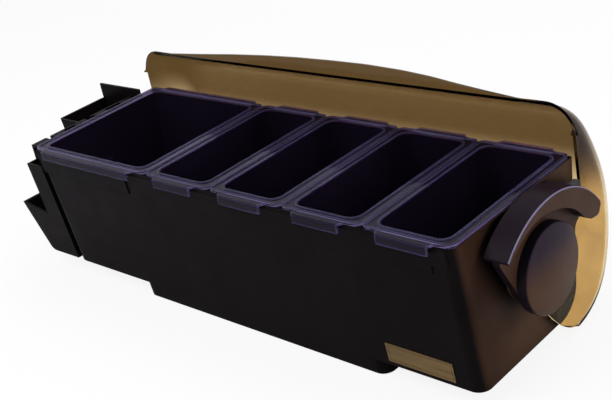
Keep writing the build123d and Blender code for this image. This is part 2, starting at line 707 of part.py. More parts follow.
def insert_tab(width, sign):
    """Grip tab that reaches over the tub's edge and hangs down in front of it."""
    half = width / 2 - TAB_SIDE
    tip = half - TAB_TAPER
    root_y = RIM_HALF_Y - TAB_ROOT
    end_y = RIM_HALF_Y + TAB_REACH
    plan = make_face(Polyline(
        (-half, root_y), (-half, RIM_HALF_Y), (-tip, end_y), (tip, end_y), (half, RIM_HALF_Y), (half, root_y),
        close=True))
    top = Pos(0, 0, RIM_TOP_Z - FLANGE_T) * plan
    tab = extrude(top, amount=FLANGE_T - RIDGE_H / 2)
    lip_top = RIM_TOP_Z - RIDGE_H / 2
    tab += block(-tip, tip, end_y - TAB_T, end_y, RIM_TOP_Z - TAB_DROP, lip_top)
    brow = [e for e in tab.edges() if e.bounding_box().min.Y > end_y - SLIP and
            e.bounding_box().min.Z > RIM_TOP_Z - RIDGE_H]
    tab = fillet(brow, TAB_STEP_R)
    if sign < 0:
        tab = mirror(tab, about=Plane.XZ)
    return tab


# Caddies
def hook(y_from, y_to, wall_x):
    """Hook that drops over the bar of the left bracket."""
    inner = STEM_INNER_X - HOOK_GAP
    over_z = BAR_TOP_Z + HOOK_LIFT_GAP
    leg = block(inner - HOOK_T, inner, y_from, y_to, BAR_TOP_Z - HOOK_DROP, over_z + HOOK_T)
    bridge = block(inner - HOOK_T, wall_x, y_from, y_to, over_z, over_z + HOOK_T)
    return leg + bridge


def hook_places(y_from, y_to):
    """Middles of a pocket's two hooks, set in from its ends."""
    mid = (y_from + y_to) / 2
    away = (y_to - y_from) * HOOK_PLACE_SHARE
    return (mid - away, mid + away)


def cup(outline, cavity, y_from, y_to):
    """Open-topped pocket from an outline in X and Z and the outline of its hollow."""
    outer = plate_xz(outline, y_from, y_to)
    height = outer.bounding_box().size.Z
    uprights = [e for e in outer.edges() if e.bounding_box().size.Z > height / 2 and
                e.bounding_box().size.Y < SLIP]
    outer = fillet(uprights, CADDY_EDGE_R)
    inner = plate_xz(cavity, y_from + CADDY_WALL, y_to - CADDY_WALL)
    return outer - inner


def build_straw_caddy():
    inner = CADDY_INNER_X
    w = CADDY_WALL
    lean = (STRAW_TOP_X - STRAW_FOOT_X) / (STRAW_TOP_Z - STRAW_FLOOR_Z)
    outline = [
        (inner, STRAW_TOP_Z), (STRAW_TOP_X, STRAW_TOP_Z), (STRAW_FOOT_X, STRAW_FLOOR_Z),
        (inner, STRAW_FLOOR_Z),
    ]
    cavity = [
        (inner + w, STRAW_TOP_Z + w), (STRAW_TOP_X - w + lean * w, STRAW_TOP_Z + w),
        (STRAW_FOOT_X - w + lean * w, STRAW_FLOOR_Z + w), (inner + w, STRAW_FLOOR_Z + w),
    ]
    body = cup(outline, cavity, STRAW_FRONT_Y, STRAW_BACK_Y)
    back = [
        (STRAW_EAR_X, STRAW_BACK_Z), (STRAW_TOP_X - CADDY_EDGE_R, STRAW_BACK_Z),
        (STRAW_TOP_X - CADDY_EDGE_R, STRAW_TOP_Z - w), (inner, STRAW_TOP_Z - w),
        (inner, STRAW_BACK_Z - STRAW_EAR_H - w), (STRAW_EAR_X, STRAW_BACK_Z - STRAW_EAR_H),
    ]
    body += plate_xz(back, STRAW_BACK_Y - w, STRAW_BACK_Y)
    hook_top = BAR_TOP_Z + HOOK_LIFT_GAP + HOOK_T
    low = STRAW_TOP_Z - w
    body += block(inner, inner + w, STRAW_FRONT_Y + CADDY_EDGE_R, STRAW_BACK_Y - w, low, hook_top)
    for y in hook_places(STRAW_FRONT_Y, STRAW_BACK_Y):
        body += hook(y - HOOK_W / 2, y + HOOK_W / 2, inner + w)
    return side(body, -1)


def build_sip_caddy():
    inner = CADDY_INNER_X
    w = CADDY_WALL
    outline = [
        (inner, SIP_INNER_Z), (SIP_TOP_X, SIP_OUTER_Z), (SIP_FOOT_X, SIP_FLOOR_Z),
        (inner, SIP_FLOOR_Z),
    ]
    lean = (SIP_TOP_X - SIP_FOOT_X) / (SIP_OUTER_Z - SIP_FLOOR_Z)
    rise = SIP_INNER_Z + HOOK_DROP
    cavity = [
        (inner + w, rise), (SIP_TOP_X - w + lean * (rise - SIP_OUTER_Z), rise),
        (SIP_FOOT_X - w + lean * w, SIP_FLOOR_Z + w), (inner + w, SIP_FLOOR_Z + w),
    ]
    body = cup(outline, cavity, SIP_FRONT_Y, SIP_BACK_Y)
    hook_top = BAR_TOP_Z + HOOK_LIFT_GAP + HOOK_T
    low = SIP_INNER_Z - w
    body += block(inner, inner + w, SIP_FRONT_Y + CADDY_EDGE_R, SIP_BACK_Y - CADDY_EDGE_R, low, hook_top)
    for y in hook_places(SIP_FRONT_Y, SIP_BACK_Y):
        body += hook(y - HOOK_W / 2, y + HOOK_W / 2, inner + w)
    return side(body, -1)


def pick_side(inset, y_back):
    """Side outline of the pick caddy, with its front leaning like the tub's."""
    low = PICK_FLOOR_Z
    tip = PICK_COLUMN_Z
    front = PICK_FRONT_SETBACK + inset
    return [(-wall_y(low) + front, low), (y_back, low), (y_back, tip), (-wall_y(tip) + front, tip)]


def build_pick_caddy():
    """Front pocket, flush with the front of the tub, with its outer wall leaning out."""
    w = CADDY_WALL
    front = [
        (PICK_INNER_X, PICK_COLUMN_Z), (PICK_STEP_X, PICK_COLUMN_Z), (PICK_STEP_X, PICK_MOUTH_Z),
        (PICK_TOP_X, PICK_LIP_Z), (PICK_FOOT_X, PICK_FLOOR_Z), (PICK_INNER_X, PICK_FLOOR_Z),
    ]
    face = make_face(Polyline(*front, close=True))
    lower = [v for v in face.vertices() if v.Y < PICK_FLOOR_Z + SLIP and v.X > PICK_STEP_X]
    face = fillet(lower, PICK_EDGE_R)
    y_back = PICK_BACK_Y
    slab = extrude(Plane.XZ.offset(TUB_TOP_HALF_Y) * face, amount=-TUB_TOP_HALF_Y - y_back)
    body = slab & plate_yz(pick_side(0, y_back), 0, PICK_TOP_X)
    top = PICK_LIP_Z + PICK_EDGE_R
    slope = (PICK_TOP_X - PICK_FOOT_X) / (PICK_LIP_Z - PICK_FLOOR_Z)
    cavity = [
        (PICK_STEP_X + w, top), (PICK_TOP_X - w + slope * (top - PICK_LIP_Z), top),
        (PICK_FOOT_X - w * 2, PICK_FLOOR_Z + w * 2), (PICK_STEP_X + w, PICK_FLOOR_Z + w * 2),
    ]
    hollow = plate_yz(pick_side(w, y_back - w), 0, PICK_TOP_X)
    body -= plate_xz(cavity, -TUB_TOP_HALF_Y, y_back) & hollow
    back = plate_yz(pick_side(w, y_back), PICK_INNER_X + w, PICK_STEP_X - w)
    body -= Pos(0, 0, w) * back
    y_hook = -BAR_FRONT_Y + CADDY_EDGE_R
    body += block(
        PICK_STEP_X - w, PICK_STEP_X, y_hook, y_back, PICK_COLUMN_Z - w,
        BAR_TOP_Z + HOOK_LIFT_GAP + HOOK_T)
    body += hook(y_hook, y_back, PICK_STEP_X)
    return side(body, -1)


# Small pieces
def build_label():
    """Blank foil plate with a raised border line, lying on the leaning front wall."""
    middle = LABEL_LOW_Z + LABEL_H / 2
    angle = degrees(atan2(LEAN, 1))
    width = LABEL_W
    height = LABEL_H
    sheet = RectangleRounded(width, height, LABEL_T)
    plate = extrude(sheet, amount=LABEL_T)
    outer = Rectangle(width - LABEL_BORDER * 2, height - LABEL_BORDER * 2)
    inner = Rectangle(
        width - LABEL_BORDER * 2 - LABEL_BORDER_W * 2, height - LABEL_BORDER * 2 - LABEL_BORDER_W * 2)
    plate += extrude(Pos(0, 0, LABEL_T) * (outer - inner), amount=LABEL_BORDER_D)
    spot = Pos(LABEL_RIGHT_X - LABEL_W / 2, -wall_y(middle), middle)
    return spot * Rot(QUARTER_TURN + angle, 0, 0) * plate


def place(part, x):
    return Pos(x, 0, 0) * part


save(build_tub(), "tub")
save(rubber_sheet(), "rubber_pad")
save(build_label(), "label_plate")
save(build_arch_bracket(), "handle_bracket")
save(side(build_bar_bracket(), -1), "caddy_bar_bracket")
save(build_cap(CAP_R, CAP_FACE_X), "hub_cap_right")
save(side(build_cap(LEFT_CAP_R, STEM_OUTER_X + LEFT_CAP_T), -1), "hub_cap_left")
save(build_bumper(), "lid_bumper")
save(group([side(build_bush(), s) for s in (-1, 1)]), "pivot_bushes")
save(group([side(build_washer(x), s) for s in (-1, 1)
            for x in (PAD_FACE_X, BRACKET_FOOT_X - WASHER_T)]), "thrust_washers")
save(group([side(build_screw(y, z), s) for s in (-1, 1) for y, z in screw_spots()]), "bracket_screws")

shell = lid_block(0, 0) - lid_block(LID_T, LID_R)
save(build_lid_middle(shell), "dome_lid")
save(build_lid_end(shell), "dome_end_right")
save(side(build_lid_end(shell), -1), "dome_end_left")

left = -PITCH * UNITS / 2
save(place(build_insert(DOUBLE_UNITS), left + PITCH * DOUBLE_UNITS / 2), "insert_double")
for i in range(UNITS - DOUBLE_UNITS):
    centre = left + PITCH * (DOUBLE_UNITS + i) + PITCH / 2
    save(place(build_insert(1), centre), "insert_single_" + str(i + 1))

save(build_straw_caddy(), "caddy_straws")
save(build_sip_caddy(), "caddy_sip_straws")
save(build_pick_caddy(), "caddy_picks")
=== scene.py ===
import math

import bpy
import bmesh
import numpy as np
from mathutils import Matrix, Vector
from mathutils.geometry import delaunay_2d_cdt


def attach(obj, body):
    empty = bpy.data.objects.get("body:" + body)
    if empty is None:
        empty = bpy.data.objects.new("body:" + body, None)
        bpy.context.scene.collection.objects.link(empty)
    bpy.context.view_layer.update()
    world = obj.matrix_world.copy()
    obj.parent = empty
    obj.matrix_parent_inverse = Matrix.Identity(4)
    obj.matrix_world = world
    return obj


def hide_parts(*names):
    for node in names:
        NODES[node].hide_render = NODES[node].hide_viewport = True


# Camera, set first, at the photograph's viewing angle.
CAM_AT = Vector((0.65802, -0.58144, 0.50488))
CAM_TURN = Matrix((
    (0.728924, -0.168959, 0.663417),
    (0.659522, 0.433168, -0.614325),
    (-0.183575, 0.885335, 0.427179),
))
LENS = 66.73


def make_camera():
    data = bpy.data.cameras.new("camera")
    data.lens = LENS
    data.sensor_width = 36.0
    data.sensor_fit = "HORIZONTAL"
    data.clip_start = 0.01
    data.clip_end = 50.0
    cam = bpy.data.objects.new("camera", data)
    bpy.context.scene.collection.objects.link(cam)
    cam.matrix_world = Matrix.Translation(CAM_AT) @ CAM_TURN.to_4x4()
    bpy.context.scene.camera = cam


make_camera()
bpy.context.scene.view_settings.view_transform = "Standard"
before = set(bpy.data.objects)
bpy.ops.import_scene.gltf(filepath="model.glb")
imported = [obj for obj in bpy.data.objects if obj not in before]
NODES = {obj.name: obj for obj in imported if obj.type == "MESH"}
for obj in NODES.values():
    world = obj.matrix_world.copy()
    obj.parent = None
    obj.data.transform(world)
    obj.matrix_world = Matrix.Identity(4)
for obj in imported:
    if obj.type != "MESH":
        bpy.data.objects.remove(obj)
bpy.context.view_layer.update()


# Materials
def new_material(name):
    m = bpy.data.materials.new(name)
    m.use_nodes = True
    nt = m.node_tree
    shader = nt.nodes.get("Principled BSDF")
    return m, nt, shader


def coords(nt):
    return nt.nodes.new("ShaderNodeTexCoord").outputs["Object"]


def noise(nt, scale, detail=3.0, rough=0.5, vector=None):
    n = nt.nodes.new("ShaderNodeTexNoise")
    n.inputs["Scale"].default_value = scale
    n.inputs["Detail"].default_value = detail
    n.inputs["Roughness"].default_value = rough
    nt.links.new(vector if vector is not None else coords(nt), n.inputs["Vector"])
    return n.outputs["Fac"]


def ramp(nt, fac, stops):
    r = nt.nodes.new("ShaderNodeValToRGB")
    r.color_ramp.elements[0].position = stops[0][0]
    r.color_ramp.elements[0].color = (*stops[0][1], 1.0)
    r.color_ramp.elements[1].position = stops[-1][0]
    r.color_ramp.elements[1].color = (*stops[-1][1], 1.0)
    for pos, col in stops[1:-1]:
        e = r.color_ramp.elements.new(pos)
        e.color = (*col, 1.0)
    nt.links.new(fac, r.inputs["Fac"])
    return r.outputs["Color"]


def map_range(nt, value, a, b, c, d, smooth=False):
    m = nt.nodes.new("ShaderNodeMapRange")
    m.interpolation_type = "SMOOTHSTEP" if smooth else "LINEAR"
    m.inputs["From Min"].default_value = a
    m.inputs["From Max"].default_value = b
    m.inputs["To Min"].default_value = c
    m.inputs["To Max"].default_value = d
    nt.links.new(value, m.inputs["Value"])
    return m.outputs["Result"]


def bump(nt, shader, height, strength, distance):
    b = nt.nodes.new("ShaderNodeBump")
    b.inputs["Strength"].default_value = strength
    b.inputs["Distance"].default_value = distance
    nt.links.new(height, b.inputs["Height"])
    nt.links.new(b.outputs["Normal"], shader.inputs["Normal"])


def axis(nt, letter, vector=None):
    s = nt.nodes.new("ShaderNodeSeparateXYZ")
    nt.links.new(vector if vector is not None else coords(nt), s.inputs["Vector"])
    return s.outputs[letter]


def mix_colour(nt, fac, a, b):
    m = nt.nodes.new("ShaderNodeMix")
    m.data_type = "RGBA"
    nt.links.new(fac, m.inputs["Factor"])
    for sock, value in ((m.inputs[6], a), (m.inputs[7], b)):
        if isinstance(value, tuple):
            sock.default_value = (*value, 1.0)
        else:
            nt.links.new(value, sock)
    return m.outputs[2]


def math_node(nt, op, a, b):
    m = nt.nodes.new("ShaderNodeMath")
    m.operation = op
    for i, v in enumerate((a, b)):
        if isinstance(v, (int, float)):
            m.inputs[i].default_value = v
        else:
            nt.links.new(v, m.inputs[i])
    return m.outputs[0]


def painted_highlight_lines(nt, radius):
    """One along the edges of a shape, nothing on its flats; the mask for painted highlight lines."""
    soft = nt.nodes.new("ShaderNodeBevel")
    soft.samples = 4
    soft.inputs["Radius"].default_value = radius
    geo = nt.nodes.new("ShaderNodeNewGeometry")
    dot = nt.nodes.new("ShaderNodeVectorMath")
    dot.operation = "DOT_PRODUCT"
    nt.links.new(soft.outputs["Normal"], dot.inputs[0])
    nt.links.new(geo.outputs["Normal"], dot.inputs[1])
    return map_range(nt, dot.outputs["Value"], 0.97, 0.72, 0.0, 1.0, True)


def black_plastic():
    """Near-black moulded plastic with a fine grain, with a painted warm sheen on the right end and painted
    shadow next to the handle stem.
    """
    m, nt, s = new_material("black_plastic")
    # Mask of the right end wall, where the painted sheen goes.
    x = axis(nt, "X")
    end = map_range(nt, x, 0.2375, 0.2407, 0.0, 1.0, True)
    cloud = noise(nt, 14.0, 4.0, 0.6)
    front = ramp(nt, cloud, [(0.3, (0.0034, 0.0023, 0.0027)), (0.7, (0.0058, 0.0042, 0.0050))])
    # Painted reflection sheen: the right end wall gets brown colours, warmer towards the back, in place of
    # the plastic's own black.
    right = ramp(nt, cloud, [(0.3, (0.022, 0.0105, 0.0066)), (0.7, (0.042, 0.021, 0.0125))])
    painted_sheen_spread = map_range(nt, axis(nt, "Y"), -0.060, 0.020, 0.0, 1.0, True)
    painted_warm_sheen = ramp(nt, cloud, [(0.3, (0.052, 0.028, 0.016)), (0.7, (0.080, 0.045, 0.027))])
    # Painted shadow: where ambient occlusion finds the handle stem close, the right end is darkened to near
    # black.
    painted_shadow_ao = nt.nodes.new("ShaderNodeAmbientOcclusion")
    painted_shadow_ao.inputs["Distance"].default_value = 0.055
    painted_shadow_share = map_range(nt, painted_shadow_ao.outputs["AO"], 0.25, 0.85, 1.0, 0.0, True)
    right = mix_colour(nt, painted_shadow_share, mix_colour(nt, painted_sheen_spread, right, painted_warm_sheen), (0.0030, 0.0022, 0.0024))
    nt.links.new(mix_colour(nt, end, front, right), s.inputs["Base Color"])
    rough = map_range(nt, noise(nt, 60.0, 3.0), 0.3, 0.7, 0.34, 0.46)
    nt.links.new(rough, s.inputs["Roughness"])
    s.inputs["Specular IOR Level"].default_value = 0.02
    bump(nt, s, noise(nt, 1900.0, 2.0), 0.12, 0.0002)
    return m


def satin_black():
    """Satin black of the arch, with a painted brown sheen on its outward face and a painted lilac highlight
    along the rounded edge.
    """
    m, nt, s = new_material("satin_black")
    geo = nt.nodes.new("ShaderNodeNewGeometry")
    up = axis(nt, "Z", geo.outputs["Normal"])
    out = axis(nt, "X", geo.outputs["Normal"])
    cloud = noise(nt, 22.0, 4.0, 0.6)
    # Painted sheen: faces turned outward along X get a brown, lit copy of the crown's black.
    painted_sheen_face = ramp(nt, cloud, [(0.3, (0.038, 0.019, 0.012)), (0.7, (0.058, 0.030, 0.020))])
    crown = ramp(nt, cloud, [(0.3, (0.0058, 0.0030, 0.0056)), (0.7, (0.0100, 0.0054, 0.0098))])
    # Painted highlight: a lilac line on the rounded edge where it faces up and out.
    edge = ramp(nt, cloud, [(0.3, (0.13, 0.115, 0.19)), (0.7, (0.20, 0.18, 0.28))])
    painted_sheen_mask = map_range(nt, out, 0.35, 0.9, 0.0, 1.0, True)
    body = mix_colour(nt, painted_sheen_mask, crown, painted_sheen_face)
    rise = map_range(nt, out, 0.30, 0.55, 0.0, 1.0, True)
    fall = map_range(nt, out, 0.80, 0.97, 1.0, 0.0, True)
    lift = map_range(nt, up, 0.05, 0.35, 0.0, 1.0, True)
    painted_highlight_band = math_node(nt, "MULTIPLY", math_node(nt, "MULTIPLY", rise, fall), lift)
    nt.links.new(mix_colour(nt, painted_highlight_band, body, edge), s.inputs["Base Color"])
    nt.links.new(map_range(nt, noise(nt, 80.0, 3.0), 0.3, 0.7, 0.30, 0.40), s.inputs["Roughness"])
    s.inputs["Specular IOR Level"].default_value = 0.04
    bump(nt, s, noise(nt, 2200.0, 2.0), 0.12, 0.0002)
    return m


def cap_black():
    """Black of the pivot cap with a painted sheen, violet towards the top and brown below, and painted
    shade round its side.
    """
    m, nt, s = new_material("cap_black")
    z = axis(nt, "Z")
    cloud = noise(nt, 22.0, 4.0, 0.6)
    # Painted sheen: brown low down, violet higher up on the cap's face.
    low = ramp(nt, cloud, [(0.3, (0.046, 0.023, 0.013)), (0.7, (0.068, 0.036, 0.022))])
    top = ramp(nt, cloud, [(0.3, (0.014, 0.009, 0.018)), (0.7, (0.024, 0.016, 0.030))])
    painted_sheen_face = mix_colour(nt, map_range(nt, z, 0.086, 0.117, 0.0, 1.0, True), low, top)
    # Painted shade: the cap's side, turned away from X, is darkened to near black.
    geo = nt.nodes.new("ShaderNodeNewGeometry")
    out = math_node(nt, "ABSOLUTE", axis(nt, "X", geo.outputs["Normal"]), 0.0)
    painted_shadow_side = map_range(nt, out, 0.30, 0.72, 1.0, 0.0, True)
    nt.links.new(mix_colour(nt, painted_shadow_side, painted_sheen_face, (0.0060, 0.0042, 0.0065)), s.inputs["Base Color"])
    nt.links.new(map_range(nt, noise(nt, 80.0, 3.0), 0.3, 0.7, 0.28, 0.38), s.inputs["Roughness"])
    s.inputs["Specular IOR Level"].default_value = 0.05
    bump(nt, s, noise(nt, 2200.0, 2.0), 0.12, 0.0002)
    return m


def smoked():
    """Clear smoked amber sheet: darker and greener high up, amber low down."""
    m, nt, s = new_material("smoked_plastic")
    z = axis(nt, "Z")
    sides = map_range(nt, math_node(nt, "ABSOLUTE", axis(nt, "X"), 0.0), 0.226, 0.244, 0.0, 1.0, True)
    ends = math_node(nt, "MULTIPLY", map_range(nt, z, 0.156, 0.083, 0.0, 1.0, True), sides)
    low = math_node(nt, "MAXIMUM", map_range(nt, z, 0.128, 0.075, 0.0, 1.0, True), ends)
    tint = mix_colour(nt, low, (0.108, 0.061, 0.0205), (0.79, 0.60, 0.31))
    streak = nt.nodes.new("ShaderNodeMapping")
    streak.inputs["Scale"].default_value = (3.0, 16.0, 30.0)
    nt.links.new(coords(nt), streak.inputs["Vector"])
    cloud = noise(nt, 1.6, 3.0, 0.5, streak.outputs["Vector"])
    tint = mix_colour(nt, map_range(nt, cloud, 0.35, 0.75, 0.0, 0.25), tint, (0.11, 0.066, 0.022))
    nt.links.new(tint, s.inputs["Base Color"])
    s.inputs["Transmission Weight"].default_value = 1.0
    s.inputs["IOR"].default_value = 1.08
    s.inputs["Specular IOR Level"].default_value = 0.5
    s.inputs["Coat Weight"].default_value = 0.22
    s.inputs["Coat Roughness"].default_value = 0.06
    nt.links.new(map_range(nt, noise(nt, 30.0, 3.0), 0.3, 0.7, 0.008, 0.03), s.inputs["Roughness"])
    bump(nt, s, noise(nt, 18.0, 2.0), 0.015, 0.001)
    return m


def clear_plastic():
    """Clear plastic with a violet cast and painted pale lavender highlight lines along its edges."""
    m, nt, s = new_material("clear_plastic")
    cloud = noise(nt, 9.0, 3.0)
    wall = ramp(nt, cloud, [(0.3, (0.11, 0.072, 0.17)), (0.7, (0.17, 0.12, 0.25))])
    # Painted highlight: lavender lines along every edge, where the plastic is also made less clear.
    edge = ramp(nt, cloud, [(0.3, (0.26, 0.25, 0.56)), (0.7, (0.42, 0.41, 0.80))])
    line = painted_highlight_lines(nt, 0.0009)
    nt.links.new(mix_colour(nt, line, wall, edge), s.inputs["Base Color"])
    nt.links.new(map_range(nt, line, 0.0, 1.0, 0.955, 0.55), s.inputs["Transmission Weight"])
    s.inputs["Specular IOR Level"].default_value = 0.15
    s.inputs["IOR"].default_value = 1.14
    nt.links.new(map_range(nt, noise(nt, 40.0, 3.0), 0.3, 0.7, 0.03, 0.10), s.inputs["Roughness"])
    bump(nt, s, noise(nt, 35.0, 2.0), 0.08, 0.001)
    return m


def foil():
    m, nt, s = new_material("label_foil")
    streak = nt.nodes.new("ShaderNodeMapping")
    streak.inputs["Scale"].default_value = (20.0, 400.0, 900.0)
    nt.links.new(coords(nt), streak.inputs["Vector"])
    lines = noise(nt, 1.0, 3.0, 0.6, streak.outputs["Vector"])
    gold = ramp(nt, lines, [(0.3, (0.125, 0.078, 0.028)), (0.7, (0.215, 0.135, 0.052))])
    nt.links.new(gold, s.inputs["Base Color"])
    s.inputs["Metallic"].default_value = 0.75
    nt.links.new(map_range(nt, lines, 0.3, 0.7, 0.34, 0.5), s.inputs["Roughness"])
    bump(nt, s, lines, 0.1, 0.0001)
    return m


def rubber():
    m, nt, s = new_material("rubber")
    cloud = noise(nt, 120.0, 4.0, 0.6)
    black = ramp(nt, cloud, [(0.3, (0.010, 0.010, 0.010)), (0.7, (0.022, 0.022, 0.021))])
    nt.links.new(black, s.inputs["Base Color"])
    nt.links.new(map_range(nt, cloud, 0.3, 0.7, 0.7, 0.85), s.inputs["Roughness"])
    bump(nt, s, noise(nt, 900.0, 2.0), 0.3, 0.0003)
    return m


def bush_plastic():
    m, nt, s = new_material("bush_plastic")
    cloud = noise(nt, 90.0, 3.0)
    ivory = ramp(nt, cloud, [(0.3, (0.50, 0.48, 0.43)), (0.7, (0.62, 0.60, 0.54))])
    nt.links.new(ivory, s.inputs["Base Color"])
    nt.links.new(map_range(nt, cloud, 0.3, 0.7, 0.4, 0.55), s.inputs["Roughness"])
    bump(nt, s, noise(nt, 1200.0, 2.0), 0.1, 0.0002)
    return m


def steel():
    m, nt, s = new_material("screw_steel")
    cloud = noise(nt, 300.0, 3.0)
    grey = ramp(nt, cloud, [(0.3, (0.42, 0.42, 0.43)), (0.7, (0.60, 0.60, 0.61))])
    nt.links.new(grey, s.inputs["Base Color"])
    s.inputs["Metallic"].default_value = 1.0
    nt.links.new(map_range(nt, cloud, 0.3, 0.7, 0.22, 0.38), s.inputs["Roughness"])
    bump(nt, s, noise(nt, 2500.0, 2.0), 0.1, 0.0001)
    return m


MATS = {
    "black": black_plastic(), "satin": satin_black(), "smoked": smoked(), "clear": clear_plastic(),
    "cap": cap_black(),
    "foil": foil(), "rubber": rubber(), "bush": bush_plastic(), "steel": steel(),
}


def dress(obj, key):
    for s in obj.material_slots:
        s.material = MATS[key]
    if not obj.material_slots:
        obj.data.materials.append(MATS[key])


LOOKS = {
    "tub": "black", "rubber_pad": "rubber", "label_plate": "foil", "handle_bracket": "satin",
    "caddy_bar_bracket": "black", "hub_cap_right": "cap", "hub_cap_left": "cap",
    "lid_bumper": "rubber", "pivot_bushes": "bush", "thrust_washers": "bush", "bracket_screws": "steel",
    "dome_lid": "smoked", "dome_end_right": "smoked", "dome_end_left": "smoked",
    "insert_double": "clear", "insert_single_1": "clear", "insert_single_2": "clear",
    "insert_single_3": "clear", "insert_single_4": "clear", "caddy_straws": "black",
    "caddy_sip_straws": "black", "caddy_picks": "black",
}
for node, key in LOOKS.items():
    dress(NODES[node], key)


# Lid: one smooth shell in place of the three CAD solids, same outline
PIVOT_Z = 0.091
LID_R = 0.092
LID_X = 0.2454
LID_T = 0.0024
ROUND_X = 0.023
BUSH_HOLE = 0.01408
OUTLINE = [
    (0.826, 0.978), (1.060, 0.825), (1.235, 0.570), (1.345, 0.315), (1.405, 0.075), (1.418, -0.150),
    (1.390, -0.385), (1.325, -0.590), (1.222, -0.765), (1.090, -0.890), (0.930, -0.958),
    (0.760, -0.980), (0.600, -0.975),
]
FLAT = [
    (0.826, 0.720), (0.905, 0.640), (1.000, 0.440), (1.075, 0.235), (1.120, 0.050), (1.130, -0.130),
    (1.120, -0.330), (1.088, -0.510), (1.030, -0.675), (0.945, -0.795), (0.830, -0.885),
    (0.720, -0.930), (0.625, -0.950),
]
LOBE = [
    (0.826, 0.24), (0.80, 0.13), (0.72, 0.06), (0.62, 0.11), (0.50, 0.20), (0.30, 0.29), (0.15, 0.30),
    (0.0, 0.293), (-0.21, 0.21), (-0.293, 0.0), (-0.21, -0.21), (-0.10, -0.29), (0.0, -0.36),
    (0.20, -0.60), (0.37, -0.80), (0.486, -0.89), (0.57, -0.925),
]
LIP_FROM, LIP_TO, LIP_BOW = -0.202, 0.200, 0.0126
LIP_FOOT = 0.0007
LIP_LEAN = 0.08
LIP_ROWS = 6
OUTLINE_POINTS, LOBE_POINTS, HOLE_POINTS = 88, 90, 48
ROUND_STEPS, LENGTH_STEPS = 12, 56
EDGE_R = 0.0005
SHARP_ANGLE = 50.0
FRONT_GAP = 0.0001
FRONT_CUT = 0.004
FRONT_CUT_ABOVE = 0.002
FRONT_CUT_X, FRONT_CUT_FADE = 0.199, 0.008
LIP = [
    (0.0, 0.0), (0.114, 0.26), (0.234, 0.57), (0.338, 0.78), (0.438, 0.92), (0.535, 0.984), (0.632, 1.0),
    (0.726, 0.89), (0.796, 0.71), (0.855, 0.47), (0.918, 0.25), (1.0, 0.0),
]


def through(points, count):
    """Even samples of a smooth curve through the points."""
    p = np.array(points, dtype=float)
    d = np.concatenate(([0.0], np.cumsum(np.hypot(*np.diff(p, axis=0).T))))
    n = len(p)
    h = np.diff(d)
    a = np.zeros((n, n))
    r = np.zeros((n, 2))
    a[0, 0] = a[-1, -1] = 1.0
    for i in range(1, n - 1):
        a[i, i - 1], a[i, i], a[i, i + 1] = h[i - 1], 2 * (h[i - 1] + h[i]), h[i]
        r[i] = 6 * ((p[i + 1] - p[i]) / h[i] - (p[i] - p[i - 1]) / h[i - 1])
    m = np.linalg.solve(a, r)
    out = []
    for t in np.linspace(0.0, d[-1], count):
        i = min(max(int(np.searchsorted(d, t)) - 1, 0), n - 2)
        u, v = t - d[i], d[i + 1] - t
        out.append((m[i] * v ** 3 + m[i + 1] * u ** 3) / (6 * h[i])
                   + (p[i] / h[i] - m[i] * h[i] / 6) * v + (p[i + 1] / h[i] - m[i + 1] * h[i] / 6) * u)
    return np.array(out)


def lip_height(x):
    t = (x - LIP_FROM) / (LIP_TO - LIP_FROM)
    t = min(max(t, 0.0), 1.0)
    ts, hs = [a for a, b in LIP], [b for a, b in LIP]
    return LIP_FOOT + LIP_BOW * float(np.interp(t, ts, hs))


def finish_mesh(name, bm, sharp=35.0):
    mesh = bpy.data.meshes.new(name)
    bmesh.ops.recalc_face_normals(bm, faces=bm.faces)
    bm.to_mesh(mesh)
    bm.free()
    mesh.polygons.foreach_set("use_smooth", [True] * len(mesh.polygons))
    mesh.set_sharp_from_angle(angle=math.radians(sharp))
    obj = bpy.data.objects.new(name, mesh)
    bpy.context.scene.collection.objects.link(obj)
    return obj


def apply_modifiers(obj, sharp=35.0):
    deps = bpy.context.evaluated_depsgraph_get()
    mesh = bpy.data.meshes.new_from_object(obj.evaluated_get(deps))
    obj.modifiers.clear()
    obj.data = mesh
    mesh.polygons.foreach_set("use_smooth", [True] * len(mesh.polygons))
    mesh.set_sharp_from_angle(angle=math.radians(sharp))


